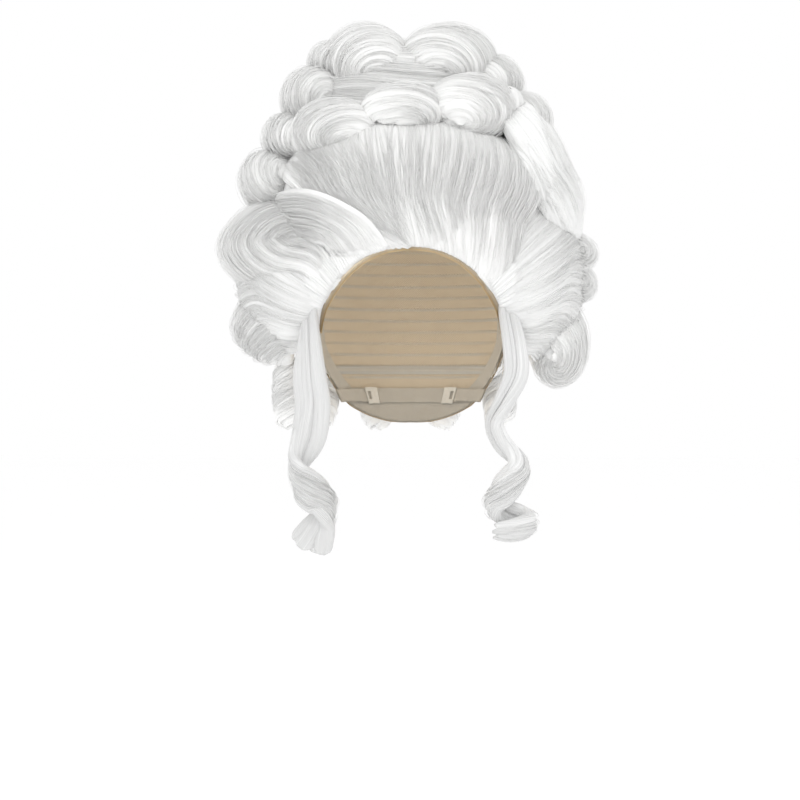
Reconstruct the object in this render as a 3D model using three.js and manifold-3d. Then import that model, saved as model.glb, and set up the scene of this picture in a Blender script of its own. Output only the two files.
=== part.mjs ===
// Tall white court wig: a stretch cap with its bands, ear tabs and nape adjusters, a foam riser on the crown,
// the hair dressed over it in masses and rolled curls, and ringlets and nape curls that hang free.
// Millimetres. +Z is up, -Y is the way the face looks, +X is to the right of someone facing the wig.
// The origin is the flat inside face of the crown patch, where the top of the head bears.
import * as THREE from "three";
import { mergeVertices } from "three/addons/utils/BufferGeometryUtils.js";
import Module from "manifold-3d";

const wasm = await Module();
wasm.setup();

// ---------------------------------------------------------------- driving dimensions

const GAP = 0.4; // between pieces that touch
const HEAD = { x: 77, y: 96, z: 106 }; // half sizes of the head that the cap is cut for
const HEAD_CENTRE = new THREE.Vector3(0, 5, -100);
const NET = 1.0; // thickness of the cap's net panels
const WEFT = 1.0; // thickness of a sewn weft track
const WEFT_WIDTH = 3.5;
const WEFT_LEVELS = [-12, -44, -78, -134];
const BAND = 1.0; // thickness of the elastic bands inside the net
const TAPE = 0.8; // thickness of the pocket tape inside the nape band
const STRAP = 1.0; // thickness of the adjuster strap inside the tape
const HAIRLINE_BAND_WIDTH = 8;
const NAPE_BAND_WIDTH = 16;

const CROWN_LEVEL = -24; // under side of the crown net
const FRONT_SEAM = -32; // Y of the seam between the front net and the side nets
const BACK_SEAM = 44; // Y of the seam between the side nets and the back net
const NAPE_SEAM = -138; // under side of the back net, above the nape panel
const TAB_TOP = -112; // where the ear tabs are sewn on

const PATCH = { radius: 19, thick: 1.2 };
const RISER = { centre: [0, 10, 8], half: [54, 52, 78] };

const STRAP_LEVEL = -158; // middle height of the adjuster straps
const STRAP_WIDTH = 9;
const STRAP_ARC = [30, 64]; // degrees round from the middle of the nape
const HOOK_ARC = [20.5, 29.2];
const TAPE_ARC = [-44, 44];
const TAPE_WIDTH = 11;

// The nape curls stand in a ring round the back of the neck, at these angles from its middle.
const NAPE_CURL = { length: 46, radius: 12, top: -139, ring: [98, 104], angles: [-75, -46, -16, 16, 46] };
const RINGLET = { x: 75, y: -61, radius: 12.5, sway: 8, top: -94, join: -209, bottom: -277, gap: 5 };
const SWING_ROOM = 2.2; // left free in the hair round the top of each hanging curl

// Outlines in the side view, as [Y, Z]. The rim is the lower edge of the cap from forehead to nape.
const RIM_FRONT = [[-110, -44], [-80, -49], [-70, -62], [-58, -80], [-46, -95], [-36, TAB_TOP]];
const RIM_BACK = [[-2, TAB_TOP], [8, -106], [20, -108], [32, -124], [42, -146], [52, -166], [66, -178], [110, -186]];
const TAB = [[-33, TAB_TOP - 1.3], [-3, TAB_TOP - 1.3], [-4, -138], [-8, -142], [-13, -139], [-27, -121]];
const STAY = [[-20, TAB_TOP - 5], [-13, TAB_TOP - 5], [-8, -136], [-12, -136]];
const EAR_ROOM = [[-42, -111.6], [0, -103], [30, -104], [38, -125], [30, -170], [-42, -170]];
const FACE_ROOM = [[-80, -49.5], [-126, -40], [-200, -40], [-200, -320], [-12, -320], [-12, -142], [-27, -120],
  [-36, -108], [-46, -95], [-58, -80], [-70, -62]];
const FACE_HALF_WIDTH = 70;
const EAR_HALF_WIDTH = 90;

// Masses of combed hair: name, centre, half sizes.
const MASSES = [
  ["front_pompadour", [0, -22, -6], [102, 85, 62]],
  ["side_base_left", [-88, 2, -66], [45, 64, 68]],
  ["side_base_right", [88, 2, -66], [43, 64, 68]],
  ["back_mass", [0, 58, -66], [108, 68, 100]],
  ["crown_mound", [-1, 12, 34], [89, 80, 79]],
];

// Rolled curls on the masses: name, centre, half sizes, tilt about Y in degrees.
const CURLS = [
  ["side_roll_left", [-92, -14, -46], [51, 56, 32], 0],
  ["side_lower_curl_left", [-97, 4, -105], [38, 46, 31], 0],
  ["side_curl_right_lower", [110, 2, -118], [24, 36, 33], 0],
  ["side_curl_right_upper", [121, 4, -62], [20, 34, 25], 0],
  ["side_sweep_right", [103, -6, -6], [25, 48, 47], -24],
  ["crown_curl_left_lower", [-107, -14, 4], [22, 36, 22], 0],
  ["crown_curl_left_middle", [-92, -12, 38], [19, 34, 17], 0],
  ["crown_curl_left_upper", [-74, -8, 68], [22, 34, 22], 20],
  ["crown_curl_left_top", [-58, 2, 97], [18, 28, 14], -20],
  ["top_curl_left", [-35, -8, 97], [32, 36, 26], 0],
  ["top_curl_right", [26, -9, 95], [36, 38, 28], 8],
  ["crown_curl_right_top", [62, -4, 80], [21, 32, 18], -20],
  ["crown_curl_right_upper", [82, -14, 52], [22, 32, 19], 10],
  ["front_curl_left", [-54, -56, 40], [30, 24, 20], -12],
  ["front_curl_middle", [-6, -60, 54], [30, 24, 18], 0],
  ["front_curl_right", [42, -54, 57], [32, 26, 22], 14],
  ["top_curl_back", [-4, 46, 90], [40, 30, 24], 0],
];
// Curls on the back in two rows, left, middle and right: level, distance back, half sizes.
const BACK_ROWS = [
  ["back_upper_curl", 36, 92, [36, 27, 28]],
  ["back_lower_curl", -40, 116, [38, 26, 36]],
];
const BACK_COLUMNS = [["left", -66, -18], ["middle", 0, 0], ["right", 66, -18]];

const COLOURS = {
  hair: [0xe9e9e6, 0.55],
  net: [0xd9c3a0, 0.8],
  band: [0xd2a968, 0.7],
  elastic: [0xe6dcc8, 0.85],
  plastic: [0xf2ede2, 0.35],
  foam: [0xdcd9cf, 0.95],
};

// ---------------------------------------------------------------- solids

function toSolid(geometry) {
  const plain = geometry.index ? geometry.toNonIndexed() : geometry.clone();
  plain.deleteAttribute("normal");
  plain.deleteAttribute("uv");
  const merged = mergeVertices(plain, 1e-4);
  const vertProperties = merged.attributes.position.array;
  const triVerts = new Uint32Array(merged.index.array);
  return new wasm.Manifold(new wasm.Mesh({ numProp: 3, vertProperties, triVerts }));
}

function toGeometry(solid) {
  const mesh = solid.getMesh();
  const geometry = new THREE.BufferGeometry();
  geometry.setAttribute("position", new THREE.BufferAttribute(new Float32Array(mesh.vertProperties), 3));
  geometry.setIndex(new THREE.BufferAttribute(new Uint32Array(mesh.triVerts), 1));
  return geometry;
}

// The largest piece that a cut leaves, so that stray slivers are dropped.
function largest(solid) {
  return solid.decompose().sort((a, b) => b.volume() - a.volume())[0];
}

function ellipsoid(centre, half, { grow = 0, tilt = 0, around = 10, rings = 7 } = {}) {
  const geometry = new THREE.SphereGeometry(1, around, rings).rotateX(Math.PI / 2);
  geometry.scale(half[0] + grow, half[1] + grow, half[2] + grow);
  geometry.rotateY(THREE.MathUtils.degToRad(tilt));
  return toSolid(geometry.translate(...centre));
}

// The head's own surface, pushed out by some distance.
function head(out) {
  const half = [HEAD.x + out, HEAD.y + out, HEAD.z + out];
  return ellipsoid(HEAD_CENTRE.toArray(), half, { around: 24, rings: 14 });
}

function shell(inside, outside) {
  return head(outside).subtract(head(inside));
}

// A side-view outline, [Y, Z], carried from one X to another.
function prism(outline, fromX = -150, toX = 150) {
  const shape = new THREE.Shape(outline.map(([y, z]) => new THREE.Vector2(y, z)));
  const geometry = new THREE.ExtrudeGeometry(shape, { depth: toX - fromX, bevelEnabled: false });
  const turn = new THREE.Matrix4().makeBasis(
    new THREE.Vector3(0, 1, 0),
    new THREE.Vector3(0, 0, 1),
    new THREE.Vector3(1, 0, 0),
  );
  return toSolid(geometry.applyMatrix4(turn).translate(fromX, 0, 0));
}

function block(low, high) {
  const size = high.map((v, i) => v - low[i]);
  const middle = high.map((v, i) => (v + low[i]) / 2);
  return toSolid(new THREE.BoxGeometry(...size).translate(...middle));
}

// The lower and upper limits of a width about its middle.
function around(middle, width) {
  return [middle - width / 2, middle + width / 2];
}

// A wedge of the plan view between two angles, in degrees round from the back of the head.
function wedge(fromDegrees, toDegrees, low, high) {
  const reach = 180;
  const corners = [fromDegrees, (fromDegrees + toDegrees) / 2, toDegrees].map((degrees) => {
    const a = THREE.MathUtils.degToRad(degrees);
    return new THREE.Vector2(reach * Math.sin(a), HEAD_CENTRE.y + reach * Math.cos(a));
  });
  const shape = new THREE.Shape([new THREE.Vector2(0, HEAD_CENTRE.y), ...corners]);
  const geometry = new THREE.ExtrudeGeometry(shape, { depth: high - low, bevelEnabled: false });
  return toSolid(geometry.translate(0, 0, low));
}

// A hanging lock: a closed barrel whose rings drift round its own axis, so that it hangs as a loose spiral.
// Its top is at the origin and it hangs down -Z. The drift grows from the top down unless it is steady.
function hangingLock({ length, radius, sway = 0, steady = false, from = 0, to = 180, around = 8, rings = 10 }) {
  const profile = [];
  for (let i = 0; i <= rings; i++) {
    const t = (1 - Math.cos((Math.PI * i) / rings)) / 2;
    const swell = Math.sqrt(Math.max(0, 1 - Math.pow(2 * t - 1, 4)));
    profile.push(new THREE.Vector2(i === 0 || i === rings ? 0 : radius * swell, length * (t - 1)));
  }
  const geometry = new THREE.LatheGeometry(profile, around).rotateX(Math.PI / 2);
  const position = geometry.attributes.position;
  for (let i = 0; i < position.count; i++) {
    const t = -position.getZ(i) / length;
    const drift = steady ? sway : sway * Math.sin((Math.PI / 2) * t);
    const angle = THREE.MathUtils.degToRad(from + (to - from) * t);
    position.setX(i, position.getX(i) + drift * Math.cos(angle));
    position.setY(i, position.getY(i) + drift * Math.sin(angle));
  }
  return toSolid(geometry);
}

// ---------------------------------------------------------------- the group

const wig = new THREE.Group();

function add(name, solid, colour) {
  const [color, roughness] = COLOURS[colour];
  const material = new THREE.MeshStandardMaterial({ color, roughness, metalness: 0 });
  const mesh = new THREE.Mesh(toGeometry(largest(solid)), material);
  mesh.name = name;
  wig.add(mesh);
}

function bothSides(make) {
  make("left", -1);
  make("right", 1);
}

// ---------------------------------------------------------------- the cap

const FAR = 200;
const capRegion = prism([...RIM_FRONT, ...RIM_BACK, [FAR, -186], [FAR, 60], [-FAR, 60], [-FAR, -44]]);

// The rim moved up into the cap, for the bands sewn along it.
function rimRaised(rim, by) {
  return rim.map(([y, z], i) => {
    const before = rim[Math.max(0, i - 1)];
    const after = rim[Math.min(rim.length - 1, i + 1)];
    const along = new THREE.Vector2(after[0] - before[0], after[1] - before[1]).normalize();
    return [y - along.y * by, z + along.x * by];
  });
}

function addNetPanels() {
  const net = shell(0, NET).intersect(capRegion);
  const crown = net.intersect(block([-FAR, -FAR, CROWN_LEVEL], [FAR, FAR, FAR]));
  const skirt = net.intersect(block([-FAR, -FAR, -FAR], [FAR, FAR, CROWN_LEVEL - GAP]));
  add("cap_crown_net", crown, "net");
  add("cap_front_net", skirt.intersect(block([-FAR, -FAR, -FAR], [FAR, FRONT_SEAM - GAP, FAR])), "net");
  const back = skirt.intersect(block([-FAR, BACK_SEAM + GAP, -FAR], [FAR, FAR, FAR]));
  add("cap_back_net", back.intersect(block([-FAR, 0, NAPE_SEAM], [FAR, FAR, FAR])), "net");
  add("cap_nape_net", back.intersect(block([-FAR, 0, -FAR], [FAR, FAR, NAPE_SEAM - GAP])), "net");
  const sides = skirt.intersect(block([-FAR, FRONT_SEAM, -FAR], [FAR, BACK_SEAM, FAR]));
  add("cap_side_net_left", sides.intersect(block([-FAR, -FAR, -FAR], [0, FAR, FAR])), "net");
  add("cap_side_net_right", sides.intersect(block([0, -FAR, -FAR], [FAR, FAR, FAR])), "net");
}

function addCrownPatch() {
  const patch = new THREE.CylinderGeometry(PATCH.radius, PATCH.radius, PATCH.thick, 24);
  patch.rotateX(Math.PI / 2).translate(0, 0, PATCH.thick / 2);
  add("crown_patch", toSolid(patch), "net");
}

function addBands() {
  const lining = shell(-GAP - BAND, -GAP);
  const front = prism([...RIM_FRONT, ...rimRaised(RIM_FRONT, HAIRLINE_BAND_WIDTH).reverse()]);
  add("hairline_band", lining.intersect(front), "band");
  const back = prism([...RIM_BACK, ...rimRaised(RIM_BACK, NAPE_BAND_WIDTH).reverse()]);
  const behindTheEars = block([-FAR, 2, -FAR], [FAR, FAR, FAR]);
  add("nape_band", lining.intersect(back).intersect(behindTheEars), "elastic");
}

function addWeftTracks() {
  const outside = shell(NET + GAP, NET + GAP + WEFT).intersect(capRegion);
  WEFT_LEVELS.forEach((level, i) => {
    const slab = block([-FAR, -FAR, level - WEFT_WIDTH / 2], [FAR, FAR, level + WEFT_WIDTH / 2]);
    add(`weft_track_${i + 1}`, outside.intersect(slab), "hair");
  });
}

// Each tab is a stiffened flap in front of the ear, with a flat plastic stay in a casing on its inner side.
function addEarTabs() {
  const tab = shell(0, NET).intersect(prism(TAB));
  const stay = shell(-GAP - BAND, -GAP).intersect(prism(STAY));
  bothSides((side, sign) => {
    const half = sign < 0 ? block([-FAR, -FAR, -FAR], [0, FAR, FAR]) : block([0, -FAR, -FAR], [FAR, FAR, FAR]);
    add(`ear_tab_${side}`, tab.intersect(half), "band");
    add(`ear_tab_stay_${side}`, stay.intersect(half), "plastic");
  });
}

// Each adjuster is an elastic strap sewn on beside the ear, with a hook that drops into a pocket of the tape.
function addAdjusters() {
  const tapeIn = -GAP - BAND - GAP;
  const strapIn = tapeIn - TAPE - GAP;
  const tape = shell(tapeIn - TAPE, tapeIn);
  const strap = shell(strapIn - STRAP, strapIn);
  add("pocket_tape", tape.intersect(wedge(...TAPE_ARC, ...around(STRAP_LEVEL, TAPE_WIDTH))), "elastic");
  bothSides((side, sign) => {
    const arc = ([a, b], width) => wedge(sign * a, sign * b, ...around(STRAP_LEVEL, width));
    add(`adjuster_strap_${side}`, strap.intersect(arc(STRAP_ARC, STRAP_WIDTH)), "elastic");
    const bar = strap.intersect(arc(HOOK_ARC, STRAP_WIDTH + 3));
    const slotArc = [(HOOK_ARC[0] + HOOK_ARC[1]) / 2 + 0.6, HOOK_ARC[1] - 1.2];
    add(`adjuster_hook_${side}`, bar.subtract(arc(slotArc, STRAP_WIDTH - 2)), "plastic");
  });
}

// ---------------------------------------------------------------- riser and hair

const capSkin = head(NET + GAP + WEFT + GAP);
const faceRoom = prism(FACE_ROOM, -FACE_HALF_WIDTH, FACE_HALF_WIDTH);
const earRoom = prism(EAR_ROOM, -EAR_HALF_WIDTH, EAR_HALF_WIDTH);
const riser = ellipsoid(RISER.centre, RISER.half, { around: 14, rings: 10 }).subtract(capSkin);

function napeCurlPlaces() {
  return NAPE_CURL.angles.map((degrees) => {
    const a = THREE.MathUtils.degToRad(degrees);
    const [rx, ry] = NAPE_CURL.ring;
    return [rx * Math.sin(a), HEAD_CENTRE.y + ry * Math.cos(a), NAPE_CURL.top];
  });
}

// Room for the hanging curls to swing, cut out of the hair above them.
function swingRoom() {
  const { length, radius } = NAPE_CURL;
  const room = hangingLock({ length: length + 2 * SWING_ROOM, radius: radius + SWING_ROOM, rings: 8 });
  return napeCurlPlaces()
    .map(([x, y, z]) => room.translate([x, y, z + SWING_ROOM]))
    .reduce((all, one) => all.add(one));
}

function addHair() {
  add("foam_riser", riser, "foam");
  const backCurls = BACK_ROWS.flatMap(([row, z, y, half]) =>
    BACK_COLUMNS.map(([column, x, forward]) => [`${row}_${column}`, [x, y + forward, z], half, 0]),
  );
  // Curls keep their full shape against the masses, and each gives way to the ones before it.
  let taken = capSkin
    .add(faceRoom)
    .add(earRoom)
    .add(ellipsoid(RISER.centre, RISER.half, { grow: GAP, around: 14, rings: 10 }))
    .add(swingRoom());
  for (const [name, centre, half, tilt] of [...CURLS, ...backCurls]) {
    add(name, ellipsoid(centre, half, { tilt }).subtract(taken), "hair");
    taken = taken.add(ellipsoid(centre, half, { tilt, grow: GAP }));
  }
  for (const [name, centre, half] of MASSES) {
    add(name, ellipsoid(centre, half, { around: 16, rings: 10 }).subtract(taken), "hair");
    taken = taken.add(ellipsoid(centre, half, { around: 16, rings: 10, grow: GAP }));
  }
}

// Curls that hang round the nape, each free to swing out from its top.
function addNapeCurls() {
  const curl = hangingLock({ length: NAPE_CURL.length, radius: NAPE_CURL.radius });
  napeCurlPlaces().forEach((place, i) => add(`nape_curl_${i + 1}`, curl.translate(place), "hair"));
}

// A long ringlet hangs in front of each ear in two lengths, the lower one swinging from the upper.
// The upper length passes behind its own axis and turns outwards, and the lower one comes round in front.
function addRinglets() {
  const { radius, sway, top, join, bottom, gap } = RINGLET;
  bothSides((side, sign) => {
    const outward = sign < 0 ? 180 : 0;
    const turn = sign < 0 ? 1 : -1;
    const upper = hangingLock({
      length: top - join - gap / 2,
      radius,
      sway,
      from: outward - turn * 180,
      to: outward,
      rings: 12,
    });
    add(`ringlet_upper_${side}`, upper.translate([sign * RINGLET.x, RINGLET.y, top]), "hair");
    const lower = hangingLock({
      length: join - bottom - gap / 2,
      radius: radius + 1,
      sway,
      steady: true,
      from: outward,
      to: outward + turn * 270,
      rings: 12,
    });
    add(`ringlet_lower_${side}`, lower.translate([sign * RINGLET.x, RINGLET.y, join - gap / 2]), "hair");
  });
}

addNetPanels();
addCrownPatch();
addBands();
addWeftTracks();
addEarTabs();
addAdjusters();
addHair();
addNapeCurls();
addRinglets();

export default wig;
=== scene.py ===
"""The tall white court wig as it looks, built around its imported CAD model.

Metres, in the CAD frame: +Z is up, -Y is the way the face looks, and the origin is inside the cap's crown.
Hair is made of locks. A lock is a row of rings along a spine, each with a side that faces out, a half width
and a half depth, and its skin is combed with fine grooves. Thin single strands lie over the locks.
"""

import math
from collections import namedtuple

import bmesh
import bpy
import numpy as np
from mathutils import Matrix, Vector


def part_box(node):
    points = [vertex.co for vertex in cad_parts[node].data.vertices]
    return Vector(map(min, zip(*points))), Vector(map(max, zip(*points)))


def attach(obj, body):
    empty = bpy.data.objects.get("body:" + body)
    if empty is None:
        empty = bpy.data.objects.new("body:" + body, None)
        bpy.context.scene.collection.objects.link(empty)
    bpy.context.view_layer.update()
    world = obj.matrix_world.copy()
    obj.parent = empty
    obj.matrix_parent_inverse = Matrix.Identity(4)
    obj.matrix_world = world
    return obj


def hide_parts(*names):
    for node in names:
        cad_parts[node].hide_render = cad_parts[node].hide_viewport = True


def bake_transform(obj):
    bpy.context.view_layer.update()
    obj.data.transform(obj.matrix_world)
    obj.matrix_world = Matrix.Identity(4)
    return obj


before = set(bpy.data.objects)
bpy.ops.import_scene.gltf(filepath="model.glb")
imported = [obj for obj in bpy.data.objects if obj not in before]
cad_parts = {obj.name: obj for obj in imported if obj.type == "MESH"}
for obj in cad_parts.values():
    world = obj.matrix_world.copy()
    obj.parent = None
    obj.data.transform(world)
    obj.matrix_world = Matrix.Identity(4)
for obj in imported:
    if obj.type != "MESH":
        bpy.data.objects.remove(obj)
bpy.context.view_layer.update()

WIG = "wig"
RNG = np.random.default_rng(1789)

Locks = namedtuple("Locks", "spine out width depth")
LOCK_DEPTH = 0.003  # half depth of a lock in a combed mass
CURL_DEPTH = 0.0028  # half depth of a lock in a rolled curl
FLYAWAY = 0.004  # how far the loosest single hairs stand clear

# ---- camera, floor and light

EYE = (-0.0084, -2.22, -0.162)  # level with the middle of the picture
PICTURE_WIDTH = 0.608  # what the picture spans at the wig
PICTURE_PLANE = -0.02  # the Y where it spans that
SENSOR_WIDTH = 36
FLOOR_LEVEL = -0.447
FLOOR_REACH = 12
LIGHTS_AIM = (0, 0, -0.08)


def new_object(name, data):
    made = bpy.data.objects.new(name, data)
    bpy.context.collection.objects.link(made)
    return made


def add_camera():
    data = bpy.data.cameras.new("camera")
    data.sensor_width = SENSOR_WIDTH
    data.lens = SENSOR_WIDTH * (PICTURE_PLANE - EYE[1]) / PICTURE_WIDTH
    camera = new_object("camera", data)
    camera.location = EYE
    camera.rotation_euler = (math.pi / 2, 0, 0)
    bpy.context.scene.camera = camera


def add_area_light(name, place, size, watts):
    data = bpy.data.lights.new(name, "AREA")
    data.shape = "DISK"
    data.size = size
    data.energy = watts
    light = new_object(name, data)
    light.location = place
    aim = Vector(LIGHTS_AIM) - Vector(place)
    light.rotation_euler = aim.to_track_quat("-Z", "Y").to_euler()


def add_studio():
    """White light from all round, with a soft key from the front."""
    world = bpy.data.worlds.new("studio")
    world.use_nodes = True
    background = world.node_tree.nodes["Background"].inputs
    background["Color"].default_value = (1, 1, 1, 1)
    background["Strength"].default_value = 1.0
    scene = bpy.context.scene
    scene.world = world
    scene.view_settings.view_transform = "Standard"
    add_area_light("key", (-0.4, -2.4, 0.7), 1.4, 11)
    add_area_light("fill", (1.4, -1.3, 0.4), 1.2, 1)
    add_area_light("back", (0.6, 1.6, 1.3), 1.2, 4)


def add_floor():
    """A pale floor, well below the wig, as far down as a stand would hold it."""
    mesh = bpy.data.meshes.new("floor")
    sides = ((-1, -1), (1, -1), (1, 1), (-1, 1))
    corners = [(x * FLOOR_REACH, y * FLOOR_REACH, FLOOR_LEVEL) for x, y in sides]
    mesh.from_pydata(corners, [], [(0, 1, 2, 3)])
    floor = new_object("floor", mesh)
    mesh.materials.append(new_material("floor_paper", (1.0, 1.0, 1.0), 0.9)[0])


# ---- materials


def new_material(name, colour, roughness):
    """A material of one colour, its shader and its node tree."""
    material = bpy.data.materials.new(name)
    material.use_nodes = True
    shader = material.node_tree.nodes["Principled BSDF"]
    shader.inputs["Base Color"].default_value = (*colour, 1)
    shader.inputs["Roughness"].default_value = roughness
    return material, shader, material.node_tree


def linked(tree, kind, inputs, **settings):
    """A new node with its settings, and with its inputs set to values or linked to sockets."""
    node = tree.nodes.new(kind)
    for key, value in settings.items():
        setattr(node, key, value)
    for key, value in inputs.items():
        if isinstance(value, bpy.types.NodeSocket):
            tree.links.new(value, node.inputs[key])
        else:
            node.inputs[key].default_value = value
    return node


def calculated(tree, operation, *values):
    inputs = dict(enumerate(values))
    return linked(tree, "ShaderNodeMath", inputs, operation=operation).outputs[0]


def place_and_tone(tree):
    """The place of each point on its lock or sheet, in millimetres, and its tone. On hair the tone also
    carries painted shade.
    """
    place = linked(tree, "ShaderNodeAttribute", {}, attribute_name="place").outputs["Vector"]
    return place, linked(tree, "ShaderNodeAttribute", {}, attribute_name="tone").outputs["Fac"]


def noise(tree, place, scale, detail):
    inputs = {"Vector": place, "Scale": scale, "Detail": detail}
    return linked(tree, "ShaderNodeTexNoise", inputs).outputs["Fac"]


def coloured(tree, shader, amount, stops):
    """Colours the shader by a ramp over an amount. Each stop is a place on the ramp and its colour."""
    ramp = linked(tree, "ShaderNodeValToRGB", {"Fac": amount})
    elements = ramp.color_ramp.elements
    for i, (position, colour) in enumerate(stops):
        element = elements[i] if i < len(elements) else elements.new(position)
        element.position = position
        element.color = (*colour, 1)
    tree.links.new(ramp.outputs["Color"], shader.inputs["Base Color"])


def textured(tree, shader, rough, limits, height, strength, distance=0.0005):
    """Takes the shader's roughness between two limits, and its bump, from textures."""
    inputs = {"Value": rough, "To Min": limits[0], "To Max": limits[1]}
    roughness = linked(tree, "ShaderNodeMapRange", inputs).outputs["Result"]
    tree.links.new(roughness, shader.inputs["Roughness"])
    bump = linked(tree, "ShaderNodeBump", {"Height": height, "Strength": strength, "Distance": distance})
    tree.links.new(bump.outputs["Normal"], shader.inputs["Normal"])


STREAK_RUN = 0.022  # how much slower the fine streaks change along a lock than across it


def hair_material(name, deep, bright):
    """White fibre with fine streaks along each lock and each lock's own tone. Where the tone is taken low
    for painted shade, the ramp runs down to a darker painted shadow colour.
    """
    material, shader, tree = new_material(name, bright, 0.42)
    place, tone = place_and_tone(tree)
    stretch = {0: place, 1: (1.0, STREAK_RUN, 1.0)}
    strand = linked(tree, "ShaderNodeVectorMath", stretch, operation="MULTIPLY").outputs[0]
    fine = noise(tree, strand, 1.6, 3.0)
    broad = noise(tree, strand, 0.28, 1.0)
    mixed = calculated(tree, "MULTIPLY_ADD", fine, 0.55, tone)
    mixed = calculated(tree, "MULTIPLY_ADD", broad, 0.3, mixed)
    mixed = calculated(tree, "ADD", mixed, 0.14)
    shadow = tuple(0.8 * part for part in deep)
    coloured(tree, shader, mixed, [(0.22, deep), (0.62, bright), (0.0, shadow)])
    textured(tree, shader, fine, (0.36, 0.56), fine, 0.25, 0.0006)
    soft = {"Weight": 0.12, "Radius": (1.0, 1.0, 1.0), "Scale": 0.002}
    for name, value in soft.items():
        shader.inputs[f"Subsurface {name}"].default_value = value
    shader.inputs["Specular IOR Level"].default_value = 0.35
    return material


def threads(tree, place, pitch, lean):
    """How near each point is to the middle of a thread, from 0 to 1, for threads side by side at a pitch in
    millimetres. The place gives millimetres across and along, and lean turns the threads towards across."""
    parts = linked(tree, "ShaderNodeSeparateXYZ", {0: place}).outputs
    line = calculated(tree, "MULTIPLY_ADD", parts[1], lean, parts[0])
    turn = calculated(tree, "MULTIPLY", line, math.pi / pitch)
    return calculated(tree, "ABSOLUTE", calculated(tree, "SINE", turn))


def cloth_material(name, gap, thread, pitch, leans, strength):
    """Cloth of one or two sets of threads with darker gaps between them, slightly uneven in colour."""
    material, shader, tree = new_material(name, thread, 0.85)
    place, tone = place_and_tone(tree)
    height = threads(tree, place, pitch, leans[0])
    for lean in leans[1:]:
        height = calculated(tree, "MAXIMUM", height, threads(tree, place, pitch, lean))
    height = calculated(tree, "POWER", height, 1.6)
    cloud = noise(tree, place, 0.09, 3.0)
    fibre = noise(tree, place, 1.9, 2.0)
    mixed = calculated(tree, "MULTIPLY_ADD", cloud, 0.5, height)
    mixed = calculated(tree, "MULTIPLY_ADD", fibre, 0.4, mixed)
    mixed = calculated(tree, "ADD", mixed, tone)
    coloured(tree, shader, calculated(tree, "MULTIPLY", mixed, 0.6), [(0.2, gap), (0.85, thread)])
    textured(tree, shader, fibre, (0.7, 0.95), height, strength)
    return material


def speckled_material(name, deep, bright, roughness, scale, strength):
    """Moulded plastic or foam: fine specks in its colour, its gloss and its surface."""
    material, shader, tree = new_material(name, bright, roughness)
    specks = noise(tree, place_and_tone(tree)[0], scale, 3.0)
    coloured(tree, shader, specks, [(0.35, deep), (0.6, bright)])
    textured(tree, shader, specks, (roughness - 0.06, roughness + 0.06), specks, strength)
    return material


def all_materials():
    """One material for each of the record's slots."""
    return {
        "hair": hair_material("hair_white", (0.84, 0.842, 0.838), (0.93, 0.93, 0.922)),
        "weft": hair_material("weft_white", (0.68, 0.67, 0.64), (0.84, 0.83, 0.79)),
        "net": cloth_material("net_tan", (0.66, 0.52, 0.36), (0.88, 0.76, 0.58), 1.7, (1.0, -1.0), 0.8),
        "band": cloth_material("band_tan", (0.74, 0.55, 0.30), (0.92, 0.75, 0.48), 0.7, (0.6,), 0.5),
        "elastic": cloth_material("elastic_cream", (0.66, 0.59, 0.48), (0.87, 0.82, 0.72), 1.1, (0.0,), 0.9),
        "plastic": speckled_material("plastic_ivory", (0.80, 0.76, 0.67), (0.84, 0.81, 0.73), 0.35, 0.5, 0.1),
        "foam": speckled_material("foam_grey", (0.52, 0.51, 0.47), (0.70, 0.69, 0.64), 0.92, 1.1, 0.9),
    }


# ---- small maths


def unit(v):
    v = np.asarray(v, float)
    return v / np.maximum(np.linalg.norm(v, axis=-1, keepdims=True), 1e-9)


def mm(*values):
    return np.array(values[0] if len(values) == 1 else values, float) / 1000


def centre_half(node):
    low, high = (np.array(corner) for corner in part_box(node))
    return (low + high) / 2, (high - low) / 2


def curve(points, steps):
    """Smooth curves through the points, which run along the first axis."""
    p = np.asarray(points, float)
    p = np.concatenate([2 * p[:1] - p[1:2], p, 2 * p[-1:] - p[-2:-1]])
    at = np.linspace(0, len(p) - 3, steps)
    low = np.minimum(at.astype(int), len(p) - 4)
    t = (at - low).reshape(-1, *[1] * (p.ndim - 1))
    a, b, c, d = (p[low + k] for k in range(4))
    return 0.5 * (2 * b + (c - a) * t + (2 * a - 5 * b + 4 * c - d) * t**2 + (3 * b - a - 3 * c + d) * t**3)


def between(values, which, at):
    """The value of the given rows at fractional places along them."""
    low = np.clip(at.astype(int), 0, values.shape[1] - 2)
    part = (at - low).reshape(*at.shape, *[1] * (values.ndim - 2))
    return values[which, low] * (1 - part) + values[which, low + 1] * part


def share_along(count, rings):
    return np.broadcast_to(np.linspace(0, 1, rings), (count, rings))


def swell(t, root=0.5, tip=0.3):
    """Relative thickness along a lock: full in the middle, thinner at the root and thinnest at the tip."""
    rise = root + (1 - root) * np.sin(np.clip(t / 0.2, 0, 1) * math.pi / 2)
    fall = tip + (1 - tip) * np.sin(np.clip((1 - t) / 0.25, 0, 1) * math.pi / 2)
    return rise * fall


def joined(groups):
    return Locks(*(np.concatenate(parts) for parts in zip(*groups)))


def frames(locks):
    """Unit vectors across and out of each ring."""
    heading = unit(np.gradient(locks.spine, axis=1))
    across = unit(np.cross(heading, locks.out))
    return across, unit(np.cross(across, heading))


# ---- locks into meshes

CORE_GRAIN = 0.0028  # side of the squares on the body of hair under the locks
# The body of hair under the locks is darkened by this tone: painted shade, as if in the locks' shadow.
CORE_PAINTED_SHADE = -0.3
STRAND_RADIUS = 0.0002
FACE_POINTS = 24  # round the combed face of a lock
BACK_POINTS = 7  # round a back that doesn't show
BACK_HEIGHT = 0.7
ROOT_SHADOW, ROOT_PART = 0.1, 0.15  # how much darker a lock is at its root, and over what share of it
SHADE_FROM = 0.65  # where along a lock its painted shade begins


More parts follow.
